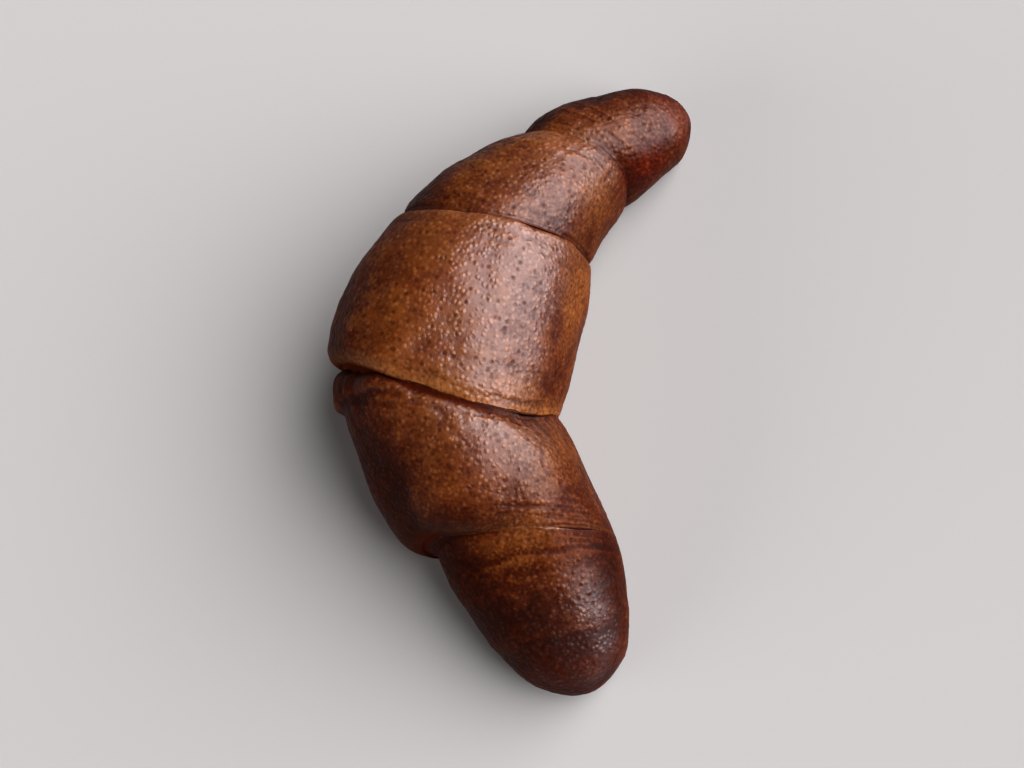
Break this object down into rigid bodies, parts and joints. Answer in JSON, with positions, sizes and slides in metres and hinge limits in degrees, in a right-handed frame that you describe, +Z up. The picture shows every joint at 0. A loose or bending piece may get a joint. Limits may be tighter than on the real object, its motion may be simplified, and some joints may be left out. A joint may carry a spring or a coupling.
{
  "type": "croissant",
  "caption": "Browned crescent pastry rolled from one sheet of dough, with stepped bands, two horns and a flat baked underside.",
  "frame": {"origin": "on the flat underside, under the middle of the crescent's bounding box", "axes": "+X along the crescent towards its slimmer upper horn, +Y towards its convex side, +Z up from the tray it was baked on"},
  "size_m": [0.1476, 0.0878, 0.0468],
  "materials": {
    "crust": "egg-washed baked crust, deep brown, satin to glossy, finely blistered"
  },
  "bodies": {
    "root": {"croissant": "crust"}
  },
  "joints": []
}
